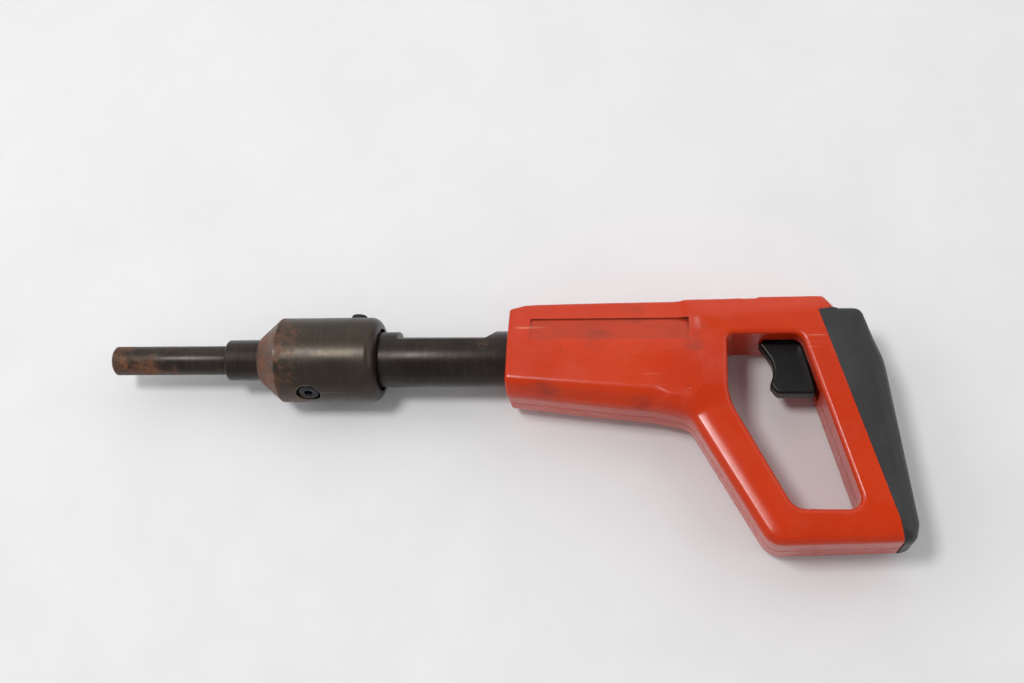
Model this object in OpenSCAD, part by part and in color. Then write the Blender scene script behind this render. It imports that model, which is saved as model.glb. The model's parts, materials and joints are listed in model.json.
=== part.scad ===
// Powder-actuated nail gun with a moulded D-handle, in millimetres.
//
// The tool lies on its right side. X runs along the barrel, with the muzzle towards -X and the
// grip towards +X. +Y is the tool's top and +Z comes out of its left side.
// The modules are written in tool coordinates, with the barrel's axis as the X axis and the
// housing's front face at X = 0. place() then moves them all to the part's own origin, which is
// the middle of the bounding box on the surface that the tool lies on.

/* [Barrel group] */
// Outer diameter of the barrel tube
barrel_d = 25.4; // [25.2:0.1:25.6]
// Bore of the barrel tube, in which the piston runs
barrel_bore_d = 16; // [15:0.5:16]
// How far the barrel slides back into the housing
barrel_travel = 38; // [30:1:38]
// Depth of the flat that the catch rides in
flat_depth = 2.9; // [2:0.1:3]
// Angle of the flat and the catch, from the tool's top towards its left side
flat_tilt = 20; // [10:1:25]
// Front end of the flat
flat_front_x = -50; // [-51:0.5:-47]
// Rear end of the flat, where its ramp starts
flat_rear_x = -10; // [-12:0.5:-9]
// Outer diameter of the fastener guide at the muzzle
guide_d = 13.5; // [13:0.1:14]
// Bore of the fastener guide
guide_bore_d = 8.1; // [8:0.1:8.4]
// Muzzle end of the fastener guide
muzzle_x = -187.2; // [-195:0.5:-180]
// Outer diameter of the guide bushing
bushing_d = 19; // [18.5:0.1:19.5]
// Muzzle end of the guide bushing
bushing_front_x = -131.5; // [-135:0.5:-128]

/* [Muzzle collar] */
// Outer diameter of the collar
collar_d = 39; // [38.6:0.2:40]
// Small end of the collar's cone
collar_front_x = -115.2; // [-117:0.2:-114]
// Diameter of the cone's small end
collar_nose_d = 21.6; // [21:0.2:23]
// Length of the cone
cone_len = 10.4; // [9:0.2:11]
// Rear end of the collar
collar_rear_x = -58.4; // [-59:0.2:-56]
// Radius of the collar's rear edge
collar_edge_r = 4.8; // [3:0.2:4.8]
// Angle of the lock screw, from the left side towards the underside
lock_screw_tilt = 71; // [65:1:75]

/* [Mechanism] */
// How far the piston drives forward
piston_stroke = 72; // [60:1:72]
// Height of the firing pin above the barrel's axis, so that it strikes the load's rim
pin_y = 2.6; // [2.4:0.1:2.8]
// Half of the thickness of the trigger's finger piece
trigger_half_w = 4.5; // [4.2:0.1:4.8]

/* [Housing] */
// Half of the housing's width at its sides
body_half_w = 18.5; // [18.2:0.1:18.8]
// Half of the handle's thickness
handle_half_w = 16.6; // [16:0.1:17]
// Radius of the handle's outer edges
handle_edge_r = 5.5; // [5.3:0.1:5.5]
// Radius of the rim around the hand opening
rim_r = 2; // [1.5:0.5:2.5]
// Wall thickness of the two shells
wall = 3.2; // [3:0.1:3.3]
// Depth of the blank panel in the upper facet
panel_depth = 0.8; // [0.5:0.1:1]

/* [Hidden] */
$fn = 72;

eps = 0.01;
gap = 0.05;                    // radial clearance of the sliding steel parts
rear_x = 176;                  // rearmost, highest and lowest points of the housing and the pad
top_y = 24.7;
bottom_y = -86.3;
cavity_half_w = handle_half_w - wall;

// Barrel group, with the barrel drawn forward
barrel_r = barrel_d / 2;
collar_r = collar_d / 2;
barrel_front_x = -92;
barrel_rear_x = 19.7;
lock_screw_x = -90.4;
stop_screw_x = -70.6;
collar_screw_r = 3;
lock_seat_r = 15.4;            // how far out the lock screw's head sits
bumper_x = [collar_rear_x - 4.4, collar_rear_x - 1.6];
bumper_r = 14.4;
chamber_x = -1.3;              // front end of the chamber insert
chamber_outer_r = 10;
chamber_r = 3.5;
rim_recess_r = 4.3;
extractor_y = -7.9;            // lower face of the extractor
buffer_rear_x = barrel_front_x - 0.3;
flange_front_x = -108;         // flange of the guide bushing, which the collar holds
flange_rear_x = -104;
guide_rear_x = -112;
guide_stem_r = 6.4;             // the guide's stem inside its bushing
buffer_hole_r = 4.4;
piston_r = barrel_bore_d / 2 - gap;
piston_front_x = buffer_rear_x + 0.2 + piston_stroke;
piston_cone_len = 6;
drive_pin_r = guide_bore_d / 2 - 0.1;
drive_pin_len = 98.5;
ring_groove_r = 6.4;
ring_w = 2;
ring_at = [4, 9];              // front of each ring, behind the head's front face

// Receiver
sleeve_r = 15.2;
sleeve_bore_r = barrel_r + gap;
sleeve_front_x = 1.5;
breech_x = barrel_rear_x + barrel_travel + 0.3;
block_rear_x = breech_x + 26;
port_x = [breech_x - 34, breech_x - 4];    // loading port, in the right side
port_y = [-9, 5];
catch_half_w = 4;
rivet_x = [36, 41];
rivet_r = 1.5;
breech_pin_at = [block_rear_x - 10, -8];
breech_pin_r = 2.5;
striker_bore_r = 4.2;          // room of the firing pin's head and spring
striker_bore_x = breech_x + 5;
knob_r = 4.5;

// Sear, link and trigger
plate_x = [block_rear_x, block_rear_x + 1.9];
plate_y = [-13.9, 19];
sear_x = [block_rear_x + 2.1, block_rear_x + 6];
sear_top_y = 19.3;
sear_half_w = 5;
plate_half_w = 11;
link_x = [sear_x[1] + 1.6, 119];
link_y = [14.6, 17.9];
link_half_w = 4;
trigger_pivot = [124, 11];
trigger_pin_r = 2;
trigger_pin_half_len = 11.5;
trigger_boss_r = 4.6;
trigger_nose = [121.4, 16.2];
trigger_spring_y = -8;
tongue_half_w = 2.5;

// Screw places in the two shells
SCREWS = [[30, 19], [52, -20.2], [91, -33.5], [119.5, -78.6], [160.5, -78], [133.6, 15.2],
    [151.4, -42]];
screw_r = 1.75;
screw_head_r = 3.3;

// Side views, as corners [x, y, radius] anticlockwise. A fourth value of 0 keeps the edge that
// leaves the corner sharp, where the housing and the pad meet flush.
// Side view of the handle
HANDLE = [[85, 23, 3], [88.5, 2, 4], [70, -2, 2], [70, -25.2, 2], [81.2, -29.6, 10],
    [114.9, -86.5, 10], [169.2, -84.5, 0.8, 0], [167.6, -75, 20, 0], [137.7, 17, 0.4, 0],
    [145.4, 18.3, 0.4], [140, 24.4, 3], [113, 24.7, 60]];
// Side view of the hand opening
OPENING = [[98.4, 6.2, 3], [98.5, -22.6, 26], [125.2, -71, 8], [154.2, -71, 5], [130.2, 6.2, 5]];
// Side view of the rubber pad on the back of the grip
PAD = [[137.8, 17, 0.4, 0], [167.7, -75, 20, 0], [169.3, -84.9, 0.8], [174.6, -83.4, 5],
    [176.13, -76, 8], [165.4, -5, 34], [155.9, 18.3, 5], [145.5, 18.3, 1]];
// Side view of the trigger's finger piece
TRIGGER = [[112.2, 5.7, 0.5], [120, -6, 11], [117, -13.5, 2], [120, -17.7, 3], [137, -17.7, 1.2],
    [133.5, 0, 3], [131.4, 5.7, 0.8]];

// Cross sections of the housing's front part, as
// [x, top y, upper facet y, lower facet y, bottom y, half widths of side, top and bottom]
BODY = [[0, 18.6, 1.4, -13.4, -17.6, -3.2, 9.2, 9.4], [1.2, 19.8, 1.8, -15, -19.2, -1.7, 10.4, 10.6],
    [8.5, 21.8, 1.7, -16.4, -21, -0.2, 11.1, 11.2], [14, 22.5, 1.6, -17, -22, 0, 11.2, 11.2],
    [43, 23, 1.2, -19.3, -25.4, 0, 11.2, 11.2], [84, 23.4, 0.7, -22.3, -29.4, 0, 11.2, 11.2],
    [97, 23.1, 0.5, -23, -30, -1.9, 11.2, 11.2]];

// ---- Outlines with rounded corners ----

function xy(p) = [p[0], p[1]];
function unit(v) = v / norm(v);
function inward(a, b) = let (u = unit(xy(b) - xy(a))) [-u[1], u[0]];
function turn(a, b, c) = cross(xy(b) - xy(a), xy(c) - xy(b));

// The arc of n steps that rounds corner b between a and c
function corner(a, b, c, n) =
    let (u = unit(xy(a) - xy(b)), w = unit(xy(c) - xy(b)), half = acos(u * w) / 2,
        o = xy(b) + unit(u + w) * b[2] / sin(half),
        from = xy(b) + u * b[2] / tan(half) - o, to = xy(b) + w * b[2] / tan(half) - o,
        start = atan2(from[1], from[0]),
        sweep = (atan2(to[1], to[0]) - start + 540) % 360 - 180)
    [for (i = [0:n]) o + b[2] * [cos(start + sweep * i / n), sin(start + sweep * i / n)]];

function rounded(list, n = 5) = let (m = len(list))
    [for (i = [0:m - 1]) each corner(list[(i + m - 1) % m], list[i], list[(i + 1) % m], n)];

// The same corners with every edge moved inward by d, or with only the edges that are rounded
function inset(list, d, all = true) = let (m = len(list))
    [for (i = [0:m - 1]) let (a = list[(i + m - 1) % m], b = list[i], c = list[(i + 1) % m],
        p = inward(a, b), q = inward(b, c), k = p * q,
        da = all || a[3] != 0 ? d : 0, db = all || b[3] != 0 ? d : 0,
        v = da == db ? xy(b) + (p + q) * da / (1 + k)
            : xy(b) + ((da - k * db) * p + (db - k * da) * q) / (1 - k * k),
        r = b[2] - (turn(a, b, c) > 0 ? 1 : -1) * min(da, db))
        [v[0], v[1], max(r, 0.25), b[3]]];

function lift(points, z) = [for (p = points) [p[0], p[1], z]];

// ---- Skinned solids ----

// A closed skin over rings of equal length, each anticlockwise seen from the last one
module skin(rings) {
    m = len(rings[0]);
    last = len(rings) - 1;
    polyhedron([for (ring = rings) each ring], concat([[for (j = [0:m - 1]) j]],
        [for (k = [0:last - 1], j = [0:m - 1])
            [k * m + j, (k + 1) * m + j, (k + 1) * m + (j + 1) % m, k * m + (j + 1) % m]],
        [[for (j = [m - 1:-1:0]) last * m + j]]), convexity = 10);
}

// Half of a slab: its outline from z = 0 up to z = h, with a top edge of radius r
module edged_slab(list, h, r, n = 5, steps = 3) {
    skin(concat([lift(rounded(list, n), 0)],
        [for (k = [0:steps]) let (a = 90 * k / steps)
            lift(rounded(inset(list, r * (1 - cos(a)), false), n), h - r + r * sin(a))]));
}

// A hole through half of a slab, flared by radius r where it meets the face at z = h
module flared_hole(list, h, r, n = 5, steps = 3) {
    skin(concat([lift(rounded(list, n), -1)],
        [for (k = [0:steps]) let (a = 90 * k / steps)
            lift(rounded(inset(list, -r * (1 - cos(a))), n), h - r + r * sin(a))],
        [lift(rounded(inset(list, -r), n), h + 1)]));
}

// One ring of the body's left half, seen along X
function body_ring(s, d, base) = let (side = body_half_w + s[5] - d, k = 1.6)
    [for (p = concat([[s[1] - d, base]],
        corner([s[1] - d, base], [s[1] - d, s[6] - 0.4 * d, k], [s[2], side, k], 2),
        corner([s[1] - d, s[6] - 0.4 * d], [s[2], side, k], [s[3], side, k], 2),
        corner([s[2], side], [s[3], side, k], [s[4] + d, s[7] - 0.4 * d, k], 2),
        corner([s[3], side], [s[4] + d, s[7] - 0.4 * d, k], [s[4] + d, base, k], 2),
        [[s[4] + d, base]])) [s[0], p[0], p[1]]];

// Makes one closed mesh of several skins before anything round is cut out of them. A resize to 0
// keeps the size as it is.
module merged() {
    resize([0, 0, 0]) union() children();
}

module along_x(x0, x1, r, y = 0, z = 0) {
    translate([x0, y, z]) rotate([0, 90, 0]) cylinder(r = r, h = x1 - x0);
}

module along_z(p, z0, z1, r) {
    translate([p[0], p[1], z0]) cylinder(r = r, h = z1 - z0);
}

module block(x, y, z) {
    translate([x[0], y[0], z[0]]) cube([x[1] - x[0], y[1] - y[0], z[1] - z[0]]);
}

// A solid turned about the barrel's axis from [x, r] pairs
module turned(points) {
    rotate([0, 90, 0]) rotate([0, 0, 90]) rotate_extrude() polygon([for (p = points) [p[1], p[0]]]);
}

// Turns its children from +Z to +Y
module upward() {
    rotate([-90, 0, 0]) children();
}

// Tilts its children about the barrel's axis, from the top towards the left side
module at_flat() {
    rotate([flat_tilt, 0, 0]) children();
}

module at_rivets(y) {
    at_flat() for (x = rivet_x)
        translate([x, y, 0]) upward() children();
}

// Moves a module from tool coordinates to the part's own origin
module place() {
    translate([-(muzzle_x + rear_x) / 2, -(top_y + bottom_y) / 2, collar_r]) children();
}

// ---- Housing ----

module half_outer() {
    union() {
        skin([for (s = BODY) body_ring(s, 0, 0)]);
        difference() {
            edged_slab(HANDLE, handle_half_w, handle_edge_r);
            flared_hole(OPENING, handle_half_w, rim_r);
        }
    }
}

module half_cavity() {
    skin([for (s = BODY) let (x = s[0] < 1 ? 4 : s[0] > 96 ? 95 : s[0])
        if (s[0] < 1 || s[0] > 8) body_ring([x, s[1], s[2], s[3], s[4], s[5], s[6], s[7]], wall, -1)]);
    difference() {
        translate([0, 0, -1]) linear_extrude(cavity_half_w + 1) polygon(rounded(inset(HANDLE, wall)));
        translate([0, 0, -2]) linear_extrude(cavity_half_w + 3) polygon(rounded(inset(OPENING, -wall)));
    }
}

// What stays standing inside a half: cradles for the sleeve, guides for the link and screw bosses
module half_ribs() {
    for (x = [[0, 5], [18, 20.5], [breech_x, breech_x + 3], [block_rear_x - 14, block_rear_x - 6],
        [block_rear_x - 2.5, block_rear_x]])
        block(x, [-40, 40], [-2, 30]);
    for (x = [104, 112])
        block([x, x + 2], [6, 26], [-2, 20]);
    for (p = SCREWS) {
        along_z(p, -2, 20, screw_r + 1.35);
        along_z(p, 7, 20, screw_head_r + 1.5);
    }
    along_z(trigger_pivot, trigger_half_w + 0.4, 20, trigger_pin_r + 1.6);
}

// The round bores that a half shares with the other one
module half_bores() {
    along_x(-1, sleeve_front_x + 1, barrel_r + 0.4);
    along_x(sleeve_front_x, block_rear_x, sleeve_r);
    along_z(trigger_pivot, -2, trigger_pin_half_len, trigger_pin_r);
    along_z(breech_pin_at, -2, sleeve_r - 0.1, breech_pin_r);
}

// The rooms for the lock plate, the sear, the link, the trigger and the tongue of the pad
module half_rooms() {
    block([plate_x[0], sear_x[0]], [plate_y[0] - 0.2, plate_y[1] + 0.1], [-2, plate_half_w + 0.1]);
    block([plate_x[1], sear_x[1] + 4], [-15, sear_top_y + 1.3], [-2, sear_half_w + 3]);
    block([sear_x[1], link_x[1] + 3], [link_y[0] - 0.2, link_y[1] + 0.2], [-2, link_half_w + 0.2]);
    translate([0, 0, -2]) linear_extrude(trigger_half_w + 2.4)
        polygon([[114, 4], [114, 10.5], [133, 10.5], [144, -18.8], [134, -18.8], [126, 4]]);
    translate([0, 0, -2]) linear_extrude(tongue_half_w + 2.1) pad_tongue(0.1);
}

// The rib of the pad that the two shells clamp, with a clearance c
module pad_tongue(c = 0) {
    polygon([[143.9 - c, -8 + c], [156.9 - c, -48 - c], [164, -48 - c], [151, -8 + c]]);
}

module facet_panel() {
    // the upper facet leans from the side to the top flat
    lean = atan2(body_half_w - 11.2, 22.6 - 1.6);
    translate([12, 1.6, body_half_w]) rotate([-lean, 0, 0])
        translate([0, 1.8, -panel_depth]) cube([70, 11.6, 5]);
}

module half_housing() {
    difference() {
        merged() difference() {
            half_outer();
            difference() {
                half_cavity();
                half_ribs();
            }
            half_rooms();
            facet_panel();
        }
        half_bores();
    }
}

module catch_room() {
    at_flat() block([4, 46], [13, 19.5], [-catch_half_w - 0.6, catch_half_w + 0.6]);
}

module housing_left() {
    color("orangered") difference() {
        half_housing();
        catch_room();
        for (p = SCREWS)
            along_z(p, -1, 8, screw_r);
    }
}

module housing_right() {
    color("orangered") difference() {
        mirror([0, 0, 1]) half_housing();
        catch_room();
        block(port_x, port_y, [-30, -10]);
        for (p = SCREWS) {
            along_z(p, -30, 1, screw_r);
            along_z(p, -30, -8, screw_head_r + 0.3);
        }
    }
}

module housing_screws() {
    color("dimgray") for (p = SCREWS)
        difference() {
            union() {
                along_z(p, -8, 7.5, screw_r);
                along_z(p, -10.2, -8, screw_head_r);
            }
            translate([p[0], p[1], -10.3]) cylinder(r = 1.7, h = 1.8, $fn = 6);
        }
}

module back_pad() {
    color("black") union() {
        for (side = [0, 1])
            mirror([0, 0, side]) edged_slab(PAD, handle_half_w, handle_edge_r);
        translate([0, 0, -tongue_half_w]) linear_extrude(2 * tongue_half_w) pad_tongue();
    }
}

// ---- Receiver ----

module receiver_sleeve() {
    color("slategray") difference() {
        along_x(sleeve_front_x, block_rear_x, sleeve_r);
        along_x(sleeve_front_x - 1, block_rear_x + 1, sleeve_bore_r);
        at_flat() block([5.5, 10], [8, 20], [-3, 3]);
        block(port_x, port_y, [-20, -5]);
        along_z(breech_pin_at, -20, 20, breech_pin_r);
        at_rivets(0) cylinder(r = rivet_r, h = 20);
    }
}

module barrel_catch() {
    color("silver") difference() {
        at_flat() union() {
            block([6, 44], [sleeve_r + 0.1, sleeve_r + 0.9], [-catch_half_w, catch_half_w]);
            block([6, 9], [barrel_r + 0.15, sleeve_r + 0.3], [-2.5, 2.5]);
        }
        at_rivets(10) cylinder(r = rivet_r, h = 10);
    }
}

module catch_rivets() {
    color("gray") at_rivets(barrel_r + 0.2) {
        cylinder(r = rivet_r, h = 3.3);
        translate([0, 0, 3.2]) cylinder(r = 2.6, h = 1);
    }
}

module breech_block() {
    color("gray") difference() {
        along_x(breech_x, block_rear_x, barrel_r);
        along_x(breech_x - 1, breech_x + 6, 1.4, pin_y);
        along_x(striker_bore_x, block_rear_x + 1, striker_bore_r, pin_y);
        along_z(breech_pin_at, -20, 20, breech_pin_r);
        block([breech_x - 1, breech_x + 7], [extractor_y - 0.3, -3.3], [-1.8, 1.8]);
    }
}

module breech_pin() {
    color("silver") along_z(breech_pin_at, 0.2 - sleeve_r, sleeve_r - 0.2, breech_pin_r);
}

module spring_retainer() {
    color("dimgray") difference() {
        along_x(block_rear_x - 3, block_rear_x, striker_bore_r, pin_y);
        along_x(block_rear_x - 4, block_rear_x + 1, 2.3, pin_y);
    }
}

module lock_plate() {
    color("silver") difference() {
        union() {
            block(plate_x, plate_y, [-plate_half_w, plate_half_w]);
            for (side = [0, 1])
                mirror([0, 0, side])
                    block([plate_x[1] - 0.4, sear_x[1] + 0.6], [8, 19], [sear_half_w + 0.2, 7.2]);
        }
        along_x(plate_x[0] - 1, sear_x[1], knob_r + 0.4, pin_y);
    }
}

module firing_pin() {
    color("lightgray") union() {
        along_x(breech_x - 1.2, breech_x + 6, 1.3, pin_y);
        along_x(striker_bore_x + 0.2, striker_bore_x + 4.2, striker_bore_r - 0.1, pin_y);
        along_x(striker_bore_x + 4, block_rear_x + 1, 2.2, pin_y);
        along_x(block_rear_x + 0.4, block_rear_x + 4.4, knob_r, pin_y);
    }
}

module firing_pin_spring() {
    color("gold") difference() {
        along_x(striker_bore_x + 4.3, block_rear_x - 3.1, striker_bore_r - 0.3, pin_y);
        along_x(striker_bore_x + 4, block_rear_x - 3, 2.5, pin_y);
    }
}

// ---- Sear, link and trigger ----

module sear() {
    color("lightgray") difference() {
        union() {
            block(sear_x, [pin_y + knob_r + 0.1, sear_top_y], [-sear_half_w, sear_half_w]);
            translate([sear_x[1], 0, -link_half_w]) linear_extrude(2 * link_half_w)
                polygon([[-0.1, 14.4], [3.5, 18], [3.5, sear_top_y], [-0.1, sear_top_y]]);
        }
        translate([sear_x[1] - 2, 11.5, 0]) upward() cylinder(r = 1.5, h = 10);
    }
}

module sear_spring() {
    color("gold") translate([sear_x[1] - 2, 11.6, 0]) upward() difference() {
        cylinder(r = 1.3, h = 8.8);
        translate([0, 0, -1]) cylinder(r = 0.8, h = 11);
    }
}

module trigger_link() {
    color("silver") translate([0, 0, -link_half_w]) linear_extrude(2 * link_half_w)
        polygon([[link_x[0], link_y[0]], [link_x[1], link_y[0]], [link_x[1], link_y[1]],
            [link_x[0] + 1.8, link_y[1]], [link_x[0], 16]]);
}

module trigger() {
    color("black") difference() {
        union() {
            translate([0, 0, -trigger_half_w]) linear_extrude(2 * trigger_half_w)
                polygon(rounded(TRIGGER));
            translate([0, 0, -link_half_w]) linear_extrude(2 * link_half_w)
                polygon([[119.4, 16.2], [119.5, 4.8], [131, 4.8], [128.5, 11], [123.3, 16.2]]);
            along_z(trigger_nose, -link_half_w, link_half_w, 2);
            along_z(trigger_pivot, -trigger_half_w, trigger_half_w, trigger_boss_r);
        }
        along_z(trigger_pivot, -9, 9, trigger_pin_r + gap);
        along_x(128, 140, 2.7, trigger_spring_y);
    }
}

module trigger_pin() {
    color("silver") along_z(trigger_pivot, -trigger_pin_half_len, trigger_pin_half_len, trigger_pin_r);
}

module trigger_spring() {
    color("gold") difference() {
        along_x(128.2, 141.3, 2.4, trigger_spring_y);
        along_x(127, 143, 1.7, trigger_spring_y);
    }
}

// ---- Barrel group ----

module barrel_tube() {
    ramp_end_x = flat_rear_x + 7.3;
    color("dimgray") difference() {
        along_x(barrel_front_x, barrel_rear_x, barrel_r);
        along_x(barrel_front_x - 1, barrel_rear_x + 1, barrel_bore_d / 2);
        along_x(chamber_x, barrel_rear_x + 1, chamber_outer_r);
        at_flat() translate([0, 0, -15]) linear_extrude(30)
            polygon([[flat_front_x, barrel_r + 1], [flat_front_x + 0.8, barrel_r - flat_depth],
                [flat_rear_x, barrel_r - flat_depth], [ramp_end_x, barrel_r + 1]]);
    }
}

module chamber() {
    color("gray") difference() {
        along_x(chamber_x, barrel_rear_x, chamber_outer_r);
        along_x(chamber_x - 1, barrel_rear_x + 1, 2);
        along_x(barrel_rear_x - 15, barrel_rear_x + 1, chamber_r);
        along_x(barrel_rear_x - 1.2, barrel_rear_x + 1, rim_recess_r);
        block([barrel_rear_x - 12, barrel_rear_x + 1], [extractor_y - 0.1, -3.4], [-1.6, 1.6]);
    }
}

module extractor() {
    color("lightgray") union() {
        block([barrel_rear_x - 11.5, barrel_rear_x - 0.1], [extractor_y, -5.2], [-1.5, 1.5]);
        block([barrel_rear_x - 1, barrel_rear_x - 0.1], [extractor_y, -3.5], [-1.5, 1.5]);
    }
}

module muzzle_collar() {
    color("dimgray") difference() {
        turned(concat([[collar_front_x, bushing_d / 2 + eps], [collar_front_x, collar_nose_d / 2],
            [collar_front_x + cone_len, collar_r]],
            [for (a = [0:15:90]) [collar_rear_x - collar_edge_r + collar_edge_r * sin(a),
                collar_r - collar_edge_r + collar_edge_r * cos(a)]],
            [[collar_rear_x, bumper_r], [bumper_x[0], bumper_r], [bumper_x[0], barrel_r],
                [flange_front_x, barrel_r], [flange_front_x, bushing_d / 2 + eps]]));
        rotate([lock_screw_tilt, 0, 0]) {
            translate([lock_screw_x, 0, 0]) cylinder(r = collar_screw_r, h = 30);
            translate([lock_screw_x, 0, lock_seat_r]) cylinder(r = 5.7, h = 10);
        }
        translate([stop_screw_x, 0, 0]) upward() cylinder(r = collar_screw_r, h = 30);
    }
}

module cap_screw(head_r, head_h, from_r, seat_r, hex_r) {
    difference() {
        union() {
            translate([0, 0, from_r]) cylinder(r = collar_screw_r, h = seat_r - from_r + eps);
            translate([0, 0, seat_r]) cylinder(r = head_r, h = head_h);
        }
        translate([0, 0, seat_r + head_h - 2]) cylinder(r = hex_r, h = 3, $fn = 6);
    }
}

module collar_lock_screw() {
    color("black") rotate([lock_screw_tilt, 0, 0]) translate([lock_screw_x, 0, 0])
        cap_screw(4.8, 3.4, barrel_r, lock_seat_r, 2.3);
}

module collar_stop_screw() {
    color("black") translate([stop_screw_x, 0, 0]) upward()
        cap_screw(3.7, 2, barrel_r, collar_r, 1.8);
}

module barrel_bumper() {
    color("black") turned([[bumper_x[0], barrel_r], [bumper_x[1], barrel_r],
        [bumper_x[1], bumper_r], [bumper_x[0], bumper_r]]);
}

module buffer() {
    color("goldenrod") turned([[flange_rear_x, buffer_hole_r],
        [buffer_rear_x - piston_cone_len - 0.3, buffer_hole_r], [buffer_rear_x, piston_r + 0.45],
        [buffer_rear_x, barrel_r - 0.2], [flange_rear_x, barrel_r - 0.2]]);
}

module guide_bushing() {
    color("dimgray") turned([[bushing_front_x, guide_stem_r], [bushing_front_x, bushing_d / 2 - 0.8],
        [bushing_front_x + 0.8, bushing_d / 2], [flange_front_x, bushing_d / 2],
        [flange_front_x, barrel_r - 0.1], [flange_rear_x, barrel_r - 0.1],
        [flange_rear_x, guide_bore_d / 2], [guide_rear_x, guide_bore_d / 2],
        [guide_rear_x, guide_stem_r]]);
}

module fastener_guide() {
    color("sienna") turned([[muzzle_x, guide_bore_d / 2], [muzzle_x, guide_d / 2 - 1],
        [muzzle_x + 1, guide_d / 2], [bushing_front_x - 0.2, guide_d / 2],
        [bushing_front_x - 0.2, guide_stem_r], [guide_rear_x, guide_stem_r],
        [guide_rear_x, guide_bore_d / 2]]);
}

module piston() {
    head_len = 17;
    color("lightgray") turned(concat([[piston_front_x - drive_pin_len, 0],
        [piston_front_x - drive_pin_len, drive_pin_r],
        [piston_front_x - piston_cone_len, drive_pin_r], [piston_front_x, piston_r]],
        [for (g = ring_at) let (x = piston_front_x + g)
            each [[x, piston_r], [x, ring_groove_r], [x + ring_w, ring_groove_r],
                [x + ring_w, piston_r]]],
        [[piston_front_x + head_len, piston_r], [piston_front_x + head_len, 0]]));
}

module piston_rings() {
    color("silver") for (g = ring_at)
        translate([piston_front_x + g, 0, 0]) difference() {
            turned([[0, ring_groove_r], [0, piston_r], [ring_w, piston_r], [ring_w, ring_groove_r]]);
            block([-1, ring_w + 1], [0, 10], [-0.5, 0.5]);
        }
}

place() housing_left();
place() housing_right();
place() housing_screws();
place() back_pad();
place() receiver_sleeve();
place() barrel_catch();
place() catch_rivets();
place() breech_block();
place() breech_pin();
place() lock_plate();
place() firing_pin();
place() firing_pin_spring();
place() spring_retainer();
place() sear();
place() sear_spring();
place() trigger_link();
place() trigger();
place() trigger_pin();
place() trigger_spring();
place() barrel_tube();
place() chamber();
place() extractor();
place() muzzle_collar();
place() collar_lock_screw();
place() collar_stop_screw();
place() barrel_bumper();
place() buffer();
place() guide_bushing();
place() fastener_guide();
place() piston();
place() piston_rings();
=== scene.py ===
# Looks of a powder-actuated nail gun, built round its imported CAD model.
#
# Shapes are worked out in tool coordinates, in millimetres: X runs along the barrel with the
# housing's front face at X = 0, +Y is the tool's top and +Z its left side. to_frame() turns them
# into the CAD frame, in metres.
import json
import math

import bmesh
import bpy
import numpy as np
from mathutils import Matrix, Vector


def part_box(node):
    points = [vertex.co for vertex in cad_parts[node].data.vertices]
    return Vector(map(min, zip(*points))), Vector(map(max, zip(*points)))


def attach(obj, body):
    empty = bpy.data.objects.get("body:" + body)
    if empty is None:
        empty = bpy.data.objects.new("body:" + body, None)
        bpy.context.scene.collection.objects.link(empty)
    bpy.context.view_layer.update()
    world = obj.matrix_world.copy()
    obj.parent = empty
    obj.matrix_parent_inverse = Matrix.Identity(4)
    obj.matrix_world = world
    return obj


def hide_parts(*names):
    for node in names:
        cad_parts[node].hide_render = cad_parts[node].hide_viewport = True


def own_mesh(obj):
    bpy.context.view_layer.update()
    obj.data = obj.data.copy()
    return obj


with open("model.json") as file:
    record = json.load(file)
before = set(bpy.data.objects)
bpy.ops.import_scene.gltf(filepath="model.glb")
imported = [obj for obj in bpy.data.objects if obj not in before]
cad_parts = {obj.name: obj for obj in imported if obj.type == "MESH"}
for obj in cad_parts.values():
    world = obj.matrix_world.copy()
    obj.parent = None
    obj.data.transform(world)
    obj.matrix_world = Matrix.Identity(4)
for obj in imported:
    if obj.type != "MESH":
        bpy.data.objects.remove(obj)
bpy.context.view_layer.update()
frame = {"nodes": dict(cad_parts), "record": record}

MM = 0.001
SLEEVE_FRONT_X = 1.5


def tool_origin():
    """The CAD frame's place of the tool coordinates' origin, from the receiver sleeve."""
    low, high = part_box("receiver_sleeve")
    return Vector((low.x - SLEEVE_FRONT_X * MM, (low.y + high.y) / 2, (low.z + high.z) / 2))


ORIGIN = tool_origin()


def to_frame(points):
    return np.asarray(points, float) * MM + np.array(ORIGIN)


def tool_box(node):
    """A CAD node's lowest and highest corners in tool coordinates."""
    low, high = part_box(node)
    return (low - ORIGIN) / MM, (high - ORIGIN) / MM


# ---- Sizes of the housing and its neighbours ----

BARREL_R = 12.7
SLEEVE_R = tool_box("receiver_sleeve")[1].y
HANDLE_HALF_W = tool_box("back_pad")[1].z
HANDLE_EDGE_R = 3.4
PAD_EDGE_R = (7.5, 4)            # along the grip and at its top
RIM_R = 2.0
WALL = 3.2
SEAM_R = 0.35
FLAT_TILT = math.radians(20)
FLAT_DEPTH = 2.9

# Side views as corners (x, y, radius), anticlockwise
HANDLE = [(80, 29, 1), (86.5, 2, 4), (70, -2, 2), (70, -25.2, 2), (81.2, -29.6, 10),
          (114.9, -86.5, 10), (185, -83.5, 1), (160, 17, 1), (145.4, 18.3, 0.8), (140, 24.4, 3),
          (113, 24.7, 40)]
OPENING = [(98.4, 6.2, 3), (98.5, -22.6, 26), (125.2, -71, 8), (154.2, -71, 5), (130.2, 6.2, 5)]
PAD = [(128, 32, 0.5), (160, -87.5, 0.5), (169.3, -84.9, 3), (174.6, -83.4, 5),
       (176.1, -76, 8), (165.4, -5, 34), (155.9, 18.3, 5), (145.8, 18.3, 1), (145.8, 32, 0.5)]
BEHIND_SEAM = [(137.7, 17, 0.4), (167.6, -75, 20), (169.3, -84.9, 0.5), (171, -95, 0.5),
               (200, -95, 0.5), (200, 27.5, 0.5)]
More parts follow.
